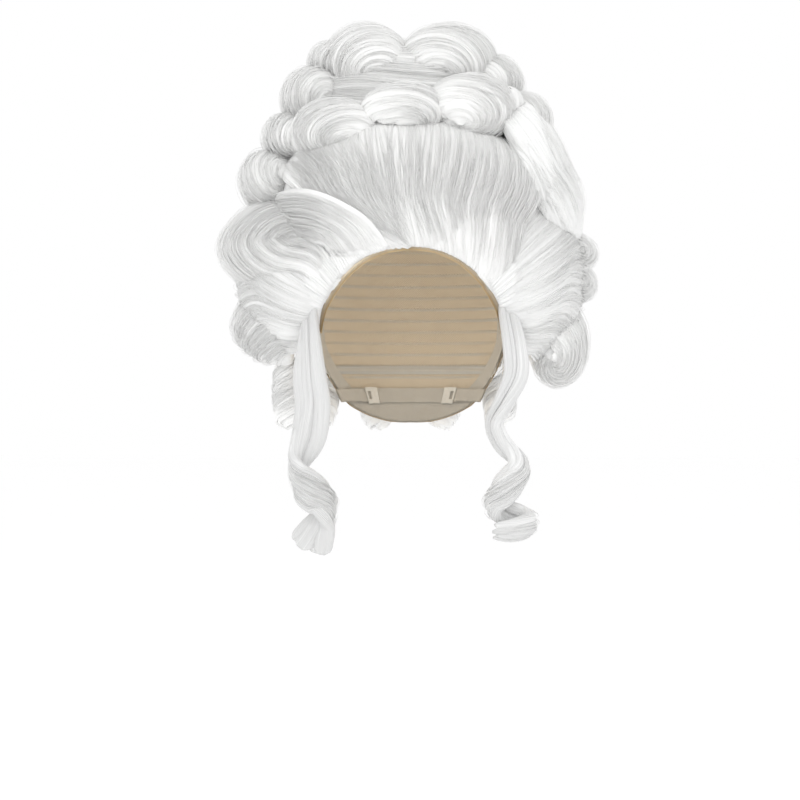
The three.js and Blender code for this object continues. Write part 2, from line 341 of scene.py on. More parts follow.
def section(two_faced):
    """Across and height of the points round a lock, closer together towards its edges. A lock that is seen
    from both sides has two combed faces; any other has a plain back."""
    turn = np.linspace(0, math.pi, FACE_POINTS, endpoint=False)
    across = 0.5 * np.cos(turn) + 0.5 * (1 - 2 * turn / math.pi)
    face = np.stack([across, (1 - np.abs(across) ** 2.5) ** 0.5])
    if two_faced:
        return np.concatenate([face, -face], axis=1)
    turn = np.linspace(math.pi, 2 * math.pi, BACK_POINTS, endpoint=False)
    return np.concatenate([face, [np.cos(turn), BACK_HEIGHT * np.sin(turn)]], axis=1)


# Pitch and depth of the combed grooves, and how far they wander in pitches: clear partings and fine ones.
GROOVES = ((0.0052, 0.0005, 0.3), (0.0023, 0.0003, 0.5))


def combing(across, t, locks):
    """How deep the combed grooves cut at every point."""
    count = across.shape[0]
    cut = np.zeros(across.shape)
    for pitch, depth, wander in GROOVES:
        waves = np.maximum(locks.width.max(axis=1) / pitch, 0.6)[:, None, None]
        drift = wander * np.sin(2 * math.pi * (t + RNG.uniform(0, 1, (count, 1, 1))))
        parting = 1 - np.abs(np.sin(math.pi * (waves * across + RNG.uniform(0, 1, (count, 1, 1)) + drift)))
        cut += depth * parting**2
    return np.minimum(cut, 0.45 * locks.depth[:, :, None])


def lock_skins(locks, tone=0.0, spread=0.05, shade=0.0, two_faced=False):
    """The points round every ring of every lock, with each point's place on its lock and its tone. Shade
    darkens the last part of each lock: painted shade where it winds in to a curl's eye. Each lock's
    root is darkened too, by a painted shadow."""
    count, rings, _ = locks.spine.shape
    side, out = frames(locks)
    across, height = (np.broadcast_to(v, (count, rings, v.size)) for v in section(two_faced))
    t = share_along(count, rings)[:, :, None]
    cut = combing(across, t, locks)
    cut = cut * (height if two_faced else np.clip(height, 0, 1))
    wide = across * locks.width[:, :, None]
    high = height * locks.depth[:, :, None] - cut
    points = locks.spine[:, :, None] + side[:, :, None] * wide[..., None] + out[:, :, None] * high[..., None]
    length = np.linalg.norm(np.diff(locks.spine, axis=1), axis=2).sum(axis=1)[:, None, None]
    place = [1000 * wide + RNG.uniform(0, 900, (count, 1, 1)), 1000 * t * length + 0 * wide, 0.5 * height]
    tones = tone + RNG.normal(0, spread, (count, 1, 1)) + 0 * wide
    tones = tones - ROOT_SHADOW * (1 - np.clip(t / ROOT_PART, 0, 1))
    tones = tones - shade * np.clip((t - SHADE_FROM) / (1 - SHADE_FROM), 0, 1)
    return points, np.stack(place, axis=-1), tones


def strand_lines(locks, count, wild, lift=(0.0001, 0.0008), rings=26):
    """Lines of single hairs that lie on the locks, a few of them standing clear by up to wild."""
    side, out = frames(locks)
    which = RNG.integers(0, locks.spine.shape[0], count)[:, None]
    start, end = RNG.uniform(0.0, 0.4, (count, 1)), RNG.uniform(0.6, 1.0, (count, 1))
    t = start + (end - start) * np.linspace(0, 1, rings)
    at = t * (locks.spine.shape[1] - 1)
    across = RNG.uniform(-0.95, 0.95, (count, 1))
    across = np.clip(across + 0.15 * np.sin(4 * t + 9 * RNG.uniform(0, 1, (count, 1))), -1.05, 1.05)
    height = np.sqrt(np.clip(1 - across**2, 0, 1)) * between(locks.depth, which, at)
    clear = wild * RNG.uniform(0, 1, (count, 1)) ** 5 * np.sin(math.pi * np.linspace(0, 1, rings))
    height = height + RNG.uniform(*lift, (count, 1)) + clear
    facing = between(out, which, at)
    line = between(locks.spine, which, at) + facing * height[..., None]
    return line + between(side, which, at) * (across * between(locks.width, which, at))[..., None], facing


def tube_faces(tubes, rings, points):
    """Quads round every tube and a cap on each end, as flat loops and the size of each face."""
    ring = np.arange(points)
    quad = np.stack([ring, (ring + 1) % points, (ring + 1) % points + points, ring + points], axis=1)
    quads = (quad[None] + points * np.arange(rings - 1)[:, None, None]).reshape(-1)
    tube = points * rings * np.arange(tubes)[:, None]
    first, last = ring[::-1], points * (rings - 1) + ring
    loops = np.concatenate([(part[None] + tube).reshape(-1) for part in (quads, first, last)])
    return loops, np.concatenate([np.full(tubes * (rings - 1) * points, 4), np.full(2 * tubes, points)])


def mesh_arrays(mesh):
    """The points, corner loops and face sizes of a mesh."""
    points = np.empty(3 * len(mesh.vertices))
    loops, sizes = np.empty(len(mesh.loops), int), np.empty(len(mesh.polygons), int)
    mesh.vertices.foreach_get("co", points)
    mesh.loops.foreach_get("vertex_index", loops)
    mesh.polygons.foreach_get("loop_total", sizes)
    return points.reshape(-1, 3), loops, sizes


def rounded_solid(node):
    """The CAD solid of a node, cut into even small faces and with its edges rounded."""
    core = new_object("core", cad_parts[node].data.copy())
    remesh = core.modifiers.new("even", "REMESH")
    remesh.mode = "VOXEL"
    remesh.voxel_size = CORE_GRAIN
    soften = core.modifiers.new("soften", "SMOOTH")
    soften.factor = 0.5
    soften.iterations = 6
    arrays = mesh_arrays(core.evaluated_get(bpy.context.evaluated_depsgraph_get()).to_mesh())
    bpy.data.objects.remove(core)
    return arrays


class Hair:
    """Gathers closed surfaces of hair, thread or cloth and turns them into one mesh."""

    def __init__(self, node=None, size=1.0):
        """Starts empty, or with the core of a node in it."""
        self.points, self.place, self.tone, self.loops, self.sizes = [], [], [], [], []
        self.count = 0
        if node:
            self.add_core(node, size)

    def add_surface(self, points, place, tone, loops, sizes):
        """Faces given by their corners' numbers, one after another, and by how many corners each has."""
        self.points.append(points.reshape(-1, 3))
        self.place.append(np.broadcast_to(place, points.shape).reshape(-1, 3))
        self.tone.append(np.broadcast_to(tone, points.shape[:-1]).reshape(-1))
        self.loops.append(loops + self.count)
        self.sizes.append(sizes)
        self.count += len(self.points[-1])

    def add_tubes(self, points, place, tone):
        """Closed tubes, whose points are listed by tube, by ring and round the ring."""
        self.add_surface(points, place, tone, *tube_faces(*points.shape[:3]))

    def add_core(self, node, size):
        """The closed body of hair under the locks: the CAD solid of the node with its edges rounded, darkened
        by painted shade.
        """
        points, loops, sizes = rounded_solid(node)
        middle = centre_half(node)[0]
        points = middle + size * (points - middle)
        self.add_surface(points, 1000 * points, CORE_PAINTED_SHADE, loops, sizes)

    def add_locks(self, locks, **how):
        self.add_tubes(*lock_skins(locks, **how))

    def add_strands(self, locks, count, wild=FLYAWAY, **how):
        self.add_lines(*strand_lines(locks, count, wild, **how), STRAND_RADIUS)

    def add_lines(self, line, out, radius):
        """Three-sided hairs along lines of points, finer towards both ends."""
        count, rings, _ = line.shape
        heading = unit(np.gradient(line, axis=1))
        side = unit(np.cross(heading, out))
        up = np.cross(side, heading)
        t = share_along(count, rings)
        thick = radius * np.clip(np.minimum(t, 1 - t) / 0.15, 0.25, 1) * RNG.uniform(0.7, 1.3, (count, 1))
        corners = np.radians([90, 210, 330])[:, None]
        ring = np.cos(corners) * side[:, :, None] + np.sin(corners) * up[:, :, None]
        points = line[:, :, None] + thick[..., None, None] * ring
        place = RNG.uniform(0, 900, (count, 1, 1, 3))
        self.add_tubes(points, place, RNG.normal(0.05, 0.06, (count, 1, 1)))

    def finish(self, name, slot="hair"):
        """The piece made of everything gathered, in the material of a slot."""
        mesh = bpy.data.meshes.new(name)
        points = np.concatenate(self.points)
        loops, sizes = np.concatenate(self.loops), np.concatenate(self.sizes)
        mesh.vertices.add(len(points))
        mesh.vertices.foreach_set("co", points.ravel())
        mesh.loops.add(len(loops))
        mesh.loops.foreach_set("vertex_index", loops)
        mesh.polygons.add(len(sizes))
        mesh.polygons.foreach_set("loop_start", np.concatenate([[0], np.cumsum(sizes)[:-1]]))
        mesh.polygons.foreach_set("use_smooth", np.ones(len(sizes), bool))
        place = mesh.attributes.new("place", "FLOAT_VECTOR", "POINT").data
        place.foreach_set("vector", np.concatenate(self.place).ravel())
        mesh.attributes.new("tone", "FLOAT", "POINT").data.foreach_set("value", np.concatenate(self.tone))
        mesh.update(calc_edges=True)
        mesh.validate()
        mesh.materials.append(MATERIALS[slot])
        piece = new_object(name, mesh)
        return piece


# ---- ways a group of locks can lie


def laid(centre, half, direction, width, depth, level=0.0, uneven=0.006, sunk=0.0):
    """Locks along directions from the middle of an ellipsoid, lying on its surface and clear of the cap.
    Sunk turns their ends in towards its middle."""
    count, rings, _ = direction.shape
    t = share_along(count, rings)
    grow = 1 + level + RNG.normal(0, uneven, (count, 1, 1)) - sunk * (t**4)[..., None]
    out = unit(direction / half)
    spine = np.asarray(centre) + direction * half * grow - out * depth * 0.8
    thick = swell(t)
    locks = Locks(spine, out, width * RNG.uniform(1.1, 1.5, (count, 1)) * thick, 0.85 * depth * thick)
    return over(locks, HEAD_CENTRE, HEAD_HALF, CAP_THICKNESS + depth)


def flow(stations, count, rings):
    """Unit directions along every lock of a group. Each station lists the directions that the group passes
    through there, from its first lock to its last."""
    across = np.stack([unit(curve(unit(station), count)) for station in stations])
    across[1:] += RNG.normal(0, 0.02, across[1:].shape)
    return unit(np.swapaxes(curve(across, rings), 0, 1))


def round_axis(axis, entry):
    """Unit vectors along an axis, out from it towards the entry side, and a quarter turn on from there."""
    along = unit(axis)
    start = unit(np.asarray(entry, float) - np.dot(entry, along) * along)
    return along, start, np.cross(along, start)


def wrapped(axis, entry, count, rings, sweep, lead=0, first=-0.9, last=0.9, slant=10):
    """Directions of locks that come in from the entry side and wrap round an axis side by side, spread along
    it from first to last. Lead, sweep and slant are in degrees."""
    along, start, quarter = round_axis(axis, entry)
    spot = np.linspace(first, last, count) + RNG.normal(0, 0.03, count)
    t = share_along(count, rings)
    turn = np.radians(-lead + (sweep + lead) * t + RNG.normal(0, 8, (count, 1)) + slant * spot[:, None])
    belt = np.cos(turn)[..., None] * start + np.sin(turn)[..., None] * quarter
    wave = 0.06 * (1 - spot**2)[:, None] * np.sin(3 * turn)
    spot = np.clip(spot[:, None] + wave, -0.985, 0.985)[..., None]
    return unit(spot * along + np.sqrt(1 - spot**2) * belt)


SWIRL_LEAD = 40  # how far before the entry side the outermost lock starts, in degrees
SWIRL_RIM, SWIRL_EYE = 150, 9  # degrees from the axis where the outermost lock starts, and where locks end


def swirled(axis, entry, count, rings, hand, sweep=400):
    """Directions of locks that come in from the entry side and wind in to the eye of a roll seen end on. A
    hand of 1 winds anticlockwise about the axis, and -1 clockwise. Sweep is in degrees."""
    along, start, quarter = round_axis(axis, entry)
    share = np.linspace(0, 1, count)[:, None]
    t = share_along(count, rings)
    turn = -SWIRL_LEAD * (1 - share) + sweep * t * (1 - 0.3 * share) + RNG.normal(0, 7, (count, 1))
    turn = np.radians(turn)
    rim = SWIRL_RIM - (SWIRL_RIM - 2.5 * SWIRL_EYE) * share
    polar = SWIRL_EYE + (rim - SWIRL_EYE) * (1 - t**1.3) + RNG.normal(0, 1.5, (count, 1))
    polar = np.radians(polar)
    belt = np.cos(turn)[..., None] * start + hand * np.sin(turn)[..., None] * quarter
    return np.cos(polar)[..., None] * along + np.sin(polar)[..., None] * belt


def leaned(locks, centre, degrees):
    """The same locks, turned about the front-to-back line through a point."""
    cos, sin = math.cos(math.radians(degrees)), math.sin(math.radians(degrees))
    turn = np.array([[cos, 0, sin], [0, 1, 0], [-sin, 0, cos]])
    return locks._replace(spine=centre + (locks.spine - centre) @ turn.T, out=locks.out @ turn.T)


def over(locks, centre, half, clear):
    """The same locks, lifted where they would pass through a mass."""
    away = (locks.spine - centre) / half
    depth = np.linalg.norm(away, axis=-1, keepdims=True)
    lifted = np.asarray(centre) + away / depth * (half + clear)
    spine = np.where(depth < 1 + clear / half.mean(), lifted, locks.spine)
    blend = np.clip((1.1 - depth) / 0.1, 0, 1)
    return locks._replace(spine=spine, out=unit(locks.out * (1 - blend) + unit(away / half) * blend))


# The hairline in the side view, as Y and Z in millimetres, from the middle of the forehead to the temple.
HAIRLINE = [(-81.5, -49.8), (-79, -51), (-70, -62), (-58, -80), (-46, -95), (-36, -112)]
HAIRLINE_STEPS = 60
ROOTS_BACK = (0.6, 1.6)  # the hair starts this far behind and above the cap's edge, in millimetres
HEAD_CENTRE, HEAD_HALF = mm(0, 5, -100), mm(77, 96, 106)
CAP_THICKNESS = 0.0026


def hairline(places):
    """Points on the cap's front edge. A place runs from -1 at the left temple to 1 at the right one."""
    at = np.abs(places) * HAIRLINE_STEPS
    y, z = (curve(HAIRLINE, HAIRLINE_STEPS + 1) + ROOTS_BACK).T / 1000
    y, z = (np.interp(at, np.arange(HAIRLINE_STEPS + 1), values) for values in (y, z))
    rest = 1 - ((y - HEAD_CENTRE[1]) / HEAD_HALF[1]) ** 2 - ((z - HEAD_CENTRE[2]) / HEAD_HALF[2]) ** 2
    x = np.sign(places) * HEAD_HALF[0] * np.sqrt(np.clip(rest, 0, 1))
    point = np.stack([x, y, z], axis=-1)
    return point + CAP_THICKNESS * unit((point - HEAD_CENTRE) / HEAD_HALF**2)


def pulled(locks, roots, reach):
    """The same locks, with their roots moved to other points. The move fades out over a share of each."""
    t = share_along(*locks.spine.shape[:2])[..., None]
    fade = np.clip(1 - t / reach, 0, 1)
    fade = fade * fade * (3 - 2 * fade)
    shift = roots - locks.spine[:, 0]
    return locks._replace(spine=locks.spine + shift[:, None] * fade)


def front_of(centre, half, x, z, clear=0.0):
    """The Y of an ellipsoid's front at places given by X and Z, and how far inside its outline they are."""
    room = 1 - ((x - centre[0]) / half[0]) ** 2 - ((z - centre[2]) / half[2]) ** 2
    return centre[1] - (half[1] + clear) * np.sqrt(np.clip(room, 0, 1)), room


def in_front(locks, centre, half, clear, softness=0.005):
    """The same locks, moved towards the viewer where they would pass through the front of a mass."""
    x, y, z = np.moveaxis(locks.spine, -1, 0)
    front, room = front_of(centre, half, x, z)
    front = front - clear
    moved = -softness * np.logaddexp(-y / softness, -front / softness)
    y = np.where((room > 0) & (y < centre[1]), moved, y)
    on_mass = unit((locks.spine - centre) / half)
    share = np.clip((locks.spine[..., 1] - front) / 0.02 + 0.5, 0, 1)[..., None]
    out = unit(locks.out * (1 - share) + on_mass * share)
    return locks._replace(spine=np.stack([x, y, z], axis=-1), out=out)


# ---- the rolled curls

# Rolls seen end on. For each: the way its eye faces, the side its hair comes in from, and its hand.
SWIRLS = {
    "crown_curl_left_lower": ((0.7, -1, 0.1), (0.6, 0, 0.8), 1),
    "crown_curl_left_middle": ((0.75, -1, -0.3), (0.8, 0, 0.4), 1),
    "crown_curl_left_upper": ((0.5, -1, -0.35), (0.8, 0, 0.5), 1),
    "crown_curl_left_top": ((0.6, -1, -0.5), (0.7, 0, 0.7), 1),
    "top_curl_left": ((0.15, -1, -0.7), (0.9, 0, -0.2), 1),
    "top_curl_right": ((-0.15, -1, -0.65), (-0.9, 0, -0.2), -1),
    "crown_curl_right_top": ((-0.6, -1, -0.4), (-0.7, 0, 0.6), -1),
    "crown_curl_right_upper": ((-0.5, -1, -0.3), (-0.6, 0, 0.7), -1),
    "front_curl_left": ((0.2, -1, -0.7), (0.9, 0, 0.2), 1),
    "front_curl_middle": ((0.1, -1, -0.9), (-0.9, 0, 0.2), -1),
    "front_curl_right": ((-0.2, -1, -0.7), (-0.9, 0, 0.3), -1),
}
# Rolls seen from the side. For each: the way the roll's axis points, and the side its hair comes in from.
BARRELS = {
    "top_curl_back": ((-1, 0, 0), (0, -0.3, 0.9)),
    "back_upper_curl_left": ((-0.9, -0.4, 0.1), (0, -0.5, 0.9)),
    "back_upper_curl_middle": ((-1, 0, 0), (0, -0.5, 0.9)),
    "back_upper_curl_right": ((-0.9, 0.4, 0.1), (0, -0.5, 0.9)),
    "back_lower_curl_left": ((-0.9, -0.4, 0), (0, -0.4, 0.9)),
    "back_lower_curl_middle": ((-1, 0, 0), (0, -0.4, 0.9)),
    "back_lower_curl_right": ((-0.9, 0.4, 0), (0, -0.4, 0.9)),
}
POMPADOUR_CENTRE, POMPADOUR_HALF = mm(0, -22, -6), mm(102, 85, 62)


def dressed(node, locks, hairs, size=1.0, rings=26, **how):
    """A core with locks and single hairs over it. How gives the locks' tones."""
    hair = Hair(node, size)
    hair.add_locks(locks, **how)
    hair.add_strands(locks, hairs, rings=rings)
    return hair


def fixed(piece, node):
    """Makes a piece ride on the wig and stand for a node."""
    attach(piece, WIG)
    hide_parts(node)


def finish_fixed(hair, node):
    fixed(hair.finish(f"hair_{node}"), node)


SWIRL_SIZE, SWIRL_CORE = 1.07, 0.94  # of a roll's hair and of the body under it, in sizes of its CAD curl


def rear_of_curl(centre, half, axis, entry, width, uneven):
    """Locks that close the back of a roll seen end on."""
    belt = wrapped(-unit(axis), entry, 9, 60, 350, first=-0.2, last=1)
    return laid(centre, half, belt, width, CURL_DEPTH, uneven=uneven)


def add_swirls():
    """The crown's curls that show an end: a face that winds in to the eye, and a plain back."""
    for node, (axis, entry, hand) in SWIRLS.items():
        centre, half = centre_half(node)
        half = half * SWIRL_SIZE
        size = half.mean()
        winding = swirled(axis, entry, 14, 60, hand)
        face = laid(centre, half, winding, 0.25 * size, CURL_DEPTH, uneven=0.02, sunk=0.1)
        rear = rear_of_curl(centre, half, axis, entry, 0.2 * size, 0.02)
        hair = Hair(node, SWIRL_CORE)
        hair.add_locks(face, tone=0.05, shade=0.3)
        hair.add_locks(rear, tone=0.05)
        hair.add_strands(joined([face, rear]), 320, rings=34)
        finish_fixed(hair, node)


def add_barrels():
    """The curls across the back of the crown and the head, rolled round level axes."""
    for node, (axis, entry) in BARRELS.items():
        centre, half = centre_half(node)
        count = 12
        width = 1.9 * half.mean() / count
        direction = wrapped(axis, entry, count, 40, 250, lead=50)
        locks = laid(centre, half, direction, width, CURL_DEPTH, level=0.01, uneven=0.02, sunk=0.25)
        finish_fixed(dressed(node, locks, 180), node)


# The outermost and innermost locks of the left roll as seen from the front, as X and Z. They leave the
# hairline, turn back on themselves round the slit in the middle, and come back to the hairline underneath.
ROLL_OUTER = [(-42, -25), (-82, -12), (-120, -20), (-142, -48), (-122, -73), (-88, -79)]
ROLL_INNER = [(-60, -47), (-73, -39), (-85, -37), (-92, -40), (-85, -43.5), (-70, -49)]
ROLL_CENTRE, ROLL_HALF = mm(-84, -15, -46), mm(62, 53, 36)


def turned_back(count, rings, roots, ends):
    """Locks nested inside one another, each turning back on itself on the front of the left roll."""
    x, z = np.moveaxis(curve(mm([ROLL_OUTER, ROLL_INNER]), count), -1, 0)
    y = front_of(ROLL_CENTRE, ROLL_HALF, x, z)[0] + 0.009 * np.linspace(0, 1, count)[:, None] ** 3
    path = np.stack([x, y, z], axis=-1)
    path = np.concatenate([hairline(roots)[:, None], path, hairline(ends)[:, None]], axis=1)
    spine = np.swapaxes(curve(np.swapaxes(path, 0, 1), rings), 0, 1)
    spine += RNG.normal(0, 0.0008, (count, 1, 3)) * np.linspace(0, 1, rings)[:, None]
    thick = swell(share_along(count, rings), 0.6, 0.6)
    return Locks(spine, unit((spine - ROLL_CENTRE) / ROLL_HALF), 0.0068 * thick, 0.003 * thick)


def add_roll_left():
    """The big roll on the left. Its hair comes over the pompadour's edge and turns back under."""
    count, rings = 17, 90
    face = turned_back(count, rings, np.linspace(-0.24, -0.5, count), np.linspace(-0.72, -0.55, count))
    clear = 0.0045 * np.clip(share_along(count, rings) / 0.22, 0, 1)
    face = in_front(face, POMPADOUR_CENTRE, POMPADOUR_HALF, clear, 0.003)
    belt = wrapped((0, -1, 0), (0.4, 0, 1), 14, rings, 350, first=-0.95, last=0.6)
    rear = laid(ROLL_CENTRE, ROLL_HALF * 0.98, belt, 0.0085, LOCK_DEPTH, uneven=0.015)
    hair = Hair("side_roll_left", 0.85)
    hair.add_locks(joined([face, rear]))
    hair.add_strands(face, 500, rings=40)
    hair.add_strands(rear, 150, rings=40)
    finish_fixed(hair, "side_roll_left")


# The rolls on the right edge. A node holds one or two, and each has its shift and its size in halves of the
# node's box, the way its eye faces, the side its hair comes in from, and how many locks of which width.
SMALL_EYE, SMALL_ENTRY = (0.3, -1, 0), (-1, 0, 0.6)
ROLLS_RIGHT = {
    "side_curl_right_lower": [((0, 0, 0), (1.02, 1, 0.98), (-0.1, -0.87, -0.42), (-0.6, 0, 1), 18, 0.0066)],
    "side_curl_right_upper": [
        ((0, 0, 0.5), (1, 0.95, 0.58), SMALL_EYE, SMALL_ENTRY, 11, 0.0048),
        ((0, 0, -0.45), (1, 0.95, 0.62), SMALL_EYE, SMALL_ENTRY, 11, 0.0048),
    ],
}


def add_rolls_right():
    """The roll low on the right, and two small ones above it."""
    for node, rolls in ROLLS_RIGHT.items():
        middle, reach = centre_half(node)
        hair = Hair(node, 0.85)
        for shift, size, axis, entry, count, width in rolls:
            centre, half = middle + reach * shift, reach * size
            winding = swirled(axis, entry, count, 66, -1)
            face = laid(centre, half, winding, width, CURL_DEPTH, uneven=0.015, sunk=0.2)
            hair.add_locks(rear_of_curl(centre, half, axis, entry, width, 0.015))
            hair.add_locks(face, shade=0.3)
            hair.add_strands(face, 20 * count, rings=36)
        finish_fixed(hair, node)


# ---- the combed masses


def add_mass(
    node, centre, half, stations, count, width, rings=48, hairs=400, roots=None, strays=(), room=0.0, **how
):
    """A mass of combed hair. Roots gives the first and last lock's places on the hairline, room is how far
    the locks stay clear of the cap, and how gives their tones."""
    locks = laid(centre, half, flow(stations, count, rings), width, LOCK_DEPTH)
    locks = over(locks, HEAD_CENTRE, HEAD_HALF, CAP_THICKNESS + room)
    if roots:
        locks = pulled(locks, hairline(np.linspace(*roots, count)), 0.4)
        locks = over(locks, centre, half, -0.0012)
    hair = dressed(node, locks, hairs, rings=32, **how)
    if strays:
        hair.add_lines(*loose_hairs(strays, centre, half), STRAY_RADIUS)
    finish_fixed(hair, node)


def add_pompadour():
    """The high front: hair combed up from the hairline and over, tight and smooth."""
    roots = [
        (-0.6, -0.8, -0.75), (-0.35, -0.9, -0.72), (0, -0.95, -0.7),
        (0.4, -0.8, -0.75), (0.7, -0.7, -0.8),
    ]
    middle = [(-0.85, -0.75, 0.1), (-0.6, -0.9, 0.2), (0.02, -1, 0.1), (0.64, -0.85, 0), (0.98, -0.5, -0.2)]
    tips = [(-0.97, -0.1, 0.4), (-0.8, -0.3, 0.7), (0.05, -0.5, 0.9), (0.6, -0.4, 0.78), (0.76, -0.2, 0.66)]
    add_mass(
        "front_pompadour", POMPADOUR_CENTRE, POMPADOUR_HALF, [roots, middle, tips], 62, 0.0068,
        hairs=1100, roots=(-0.3, 0.72), strays=STRAYS, spread=0.02,
    )


# Loose hairs that curve over the front of the pompadour, as X and Z down each one.
STRAYS = [
    [(-18, 42), (7, 47), (25, 41), (35, 27), (31, 9), (28, -14)],
    [(-16, 40), (8, 45), (24, 39), (33, 25), (30, 8), (25, -12)],
    [(-5, 17), (0, 0), (1, -20)],
    [(-28, 30), (-22, 8), (-17, -10)],
]
STRAY_RADIUS = 0.00045
STRAY_LIFT = 0.0012


def loose_hairs(strays, centre, half):
    """Lines that stand just clear of the front of an ellipsoid."""
    x, z = np.moveaxis(np.stack([curve(stray, 60) for stray in strays]), -1, 0) / 1000
    lines = np.stack([x, front_of(centre, half, x, z, STRAY_LIFT)[0], z], axis=-1)
    return lines, unit((lines - centre) / half)


def add_sides():
    """The sides are combed round from the temple to the back, in shallow waves."""
    for side, sign in (("left", -1), ("right", 1)):
        roots = [(-0.5, -0.9, -0.5), (-0.5, -0.9, -0.1), (-0.5, -0.8, 0.3), (-0.5, -0.7, 0.8)]
        middle = [(0.3, -0.6, -1), (0.7, -0.8, -0.2), (0.7, -0.5, 0.5), (0.2, -0.1, 1)]
        rear = [(0.4, 0.4, -1), (1, 0.5, -0.3), (0.9, 0.5, 0.4), (0.2, 0.5, 1)]
        tips = [(0.1, 1, -1), (0.3, 1, -0.3), (0.2, 1, 0.3), (0, 1, 0.8)]
        stations = [[(sign * x, y, z) for x, y, z in station] for station in (roots, middle, rear, tips)]
        ellipsoid = mm(sign * 88, 2, -66), mm(44, 64, 68)
        add_mass(f"side_base_{side}", *ellipsoid, stations, 38, 0.007, roots=(sign, 0.5 * sign), tone=-0.2)


def add_lower_left():
    """Hair that fans down from the temple and curls under behind the ear."""
    roots = [(0.95, -0.5, 0.1), (0.8, -0.6, 0.4), (0.6, -0.6, 0.7), (0.3, -0.4, 0.9)]
    middle = [(0.1, -0.9, -0.7), (-0.3, -1, -0.1), (-0.6, -0.7, 0.4), (-0.8, -0.1, 0.6)]
    under = [(-0.3, -0.5, -1), (-0.8, -0.4, -0.7), (-1, -0.2, -0.3), (-0.9, 0.3, 0.1)]
    tips = [(-0.2, 0.6, -1), (-0.3, 0.9, -0.7), (-0.3, 1, -0.3), (-0.3, 1, 0.1)]
    stations = [roots, middle, under, tips]
    ellipsoid = mm(-97, 4, -105), mm(38, 46, 31)
    add_mass("side_lower_curl_left", *ellipsoid, stations, 24, 0.0062, hairs=300, tone=-0.25, room=0.009)


def add_sweep():
    """A long sweep on the right. It fans down from one place under the crown curls to the side."""
    centre, half = mm(103, -6, -6), mm(25, 48, 47)
    roots = [
        (-0.9, -0.6, 0.5), (-0.7, -0.5, 0.8), (-0.5, 0, 1),
        (-0.4, 0.6, 0.9), (-0.5, 1, 0.3), (-1, 1, 0),
    ]
    half_way = [
        (-0.3, -1, -0.1), (0.4, -0.9, 0.2), (1, -0.3, 0.2),
        (1, 0.3, 0.2), (0.5, 0.9, 0.1), (-0.3, 1, 0),
    ]
    tips = [
        (-0.2, -0.8, -0.9), (0.5, -0.6, -0.8), (0.9, 0, -0.7),
        (0.9, 0.4, -0.7), (0.4, 0.8, -0.7), (-0.3, 1, -0.6),
    ]
    count = 38
    locks = laid(centre, half, flow([roots, half_way, tips], count, 56), 0.0064, LOCK_DEPTH)
    one_place = curve(mm([(68, -58, 46), (78, -48, 52), (84, -28, 56), (86, 0, 56), (84, 20, 52)]), count)
    locks = pulled(leaned(locks, centre, -24), one_place, 0.5)
    locks = in_front(locks, POMPADOUR_CENTRE, POMPADOUR_HALF, 0.002)
    finish_fixed(dressed("side_sweep_right", locks, 320, rings=32, tone=-0.2), "side_sweep_right")


def add_back():
    """The back hangs straight down from under the curls and turns in at the nape."""
    ring = [(-1, -0.35), (-1, 0.2), (-0.6, 0.9), (0, 1), (0.6, 0.9), (1, 0.2), (1, -0.35)]
    # Each station's size across and front to back, its shift to the back, and its height.
    levels = ((0.2, 0.2, 0, 1), (0.9, 0.9, 0, 0.7), (1, 1, 0, 0), (1, 1, 0.2, -0.7), (0.66, 0.45, 0.3, -1))
    stations = [[(wide * x, long * y + shift, z) for x, y in ring] for wide, long, shift, z in levels]
    add_mass("back_mass", mm(0, 58, -66), mm(107, 67, 99), stations, 84, 0.0085, rings=64, hairs=900)


# Small curls that fill the crown between the big ones: centre, half sizes, the way the eye faces, and hand.
CROWN_FILL = [
    ((66, -40, 62), (18, 20, 15), (-0.5, -1, -0.3), -1),
    ((-78, -34, 38), (17, 20, 17), (0.5, -1, -0.2), 1),
    ((0, 16, 100), (34, 30, 13), (0.1, -0.2, 1), -1),
]


def add_crown():
    """The crown is combed round in level waves, with small curls between the big ones."""
    centre, half = mm(-1, 12, 34), mm(88, 79, 78)
    direction = wrapped((0, 0, 1), (0.2, 1, 0), 22, 120, 372, first=-0.35, last=0.96, slant=0)
    locks = laid(centre, half, direction, 0.0068, 0.0032, uneven=0.012)
    hair = dressed("crown_mound", locks, 500, rings=60)
    for middle, size, axis, hand in CROWN_FILL:
        winding = swirled(axis, (-hand, 0, 0.5), 12, 56, hand, sweep=360)
        curl = laid(mm(*middle), mm(*size), winding, 0.0052, 0.0026, uneven=0.02, sunk=0.12)
        hair.add_locks(curl, shade=0.3)
        hair.add_strands(curl, 160, rings=34)
    finish_fixed(hair, "crown_mound")


# ---- the hanging curls

# Stations down each ringlet: X, Y, Z, the way its flat side faces in degrees, and its half width.
# X counts outwards from the middle of the face.
RINGLET_LEFT = [
    (75, -36, -84, 60, 5), (76, -48, -100, 70, 6.5), (76, -57, -122, 82, 9),
    (75, -60, -145, 90, 12), (73, -59, -166, 95, 13), (77, -59, -188, 112, 13.5),
    (85, -61, -206, 155, 11.5), (84, -66, -217, 200, 10.5), (75, -71, -228, 265, 12.5),
    (64, -68, -239, 330, 12), (65, -60, -252, 400, 13), (71, -57, -264, 430, 16),
    (77, -57, -276, 450, 22),
]
RINGLET_RIGHT = [
    (70, -36, -80, 60, 5), (72, -48, -98, 70, 6.5), (77, -59, -122, 82, 8.5),
    (78, -60, -143, 90, 9.5), (70, -58, -162, 110, 8), (62, -58, -179, 130, 7),
    (67, -60, -193, 150, 8), (79, -63, -206, 185, 9), (81, -68, -216, 225, 9.5),
    (70, -71, -228, 280, 10), (61, -66, -238, 350, 9.5), (69, -58, -246, 410, 9.5),
    (82, -57, -250, 460, 9.5), (88, -65, -255, 540, 9.5), (76, -74, -259, 620, 9.5),
    (60, -70, -260, 680, 9),
]
RINGLET_CUT = -0.201  # level at which a ringlet's upper piece hands over to the lower
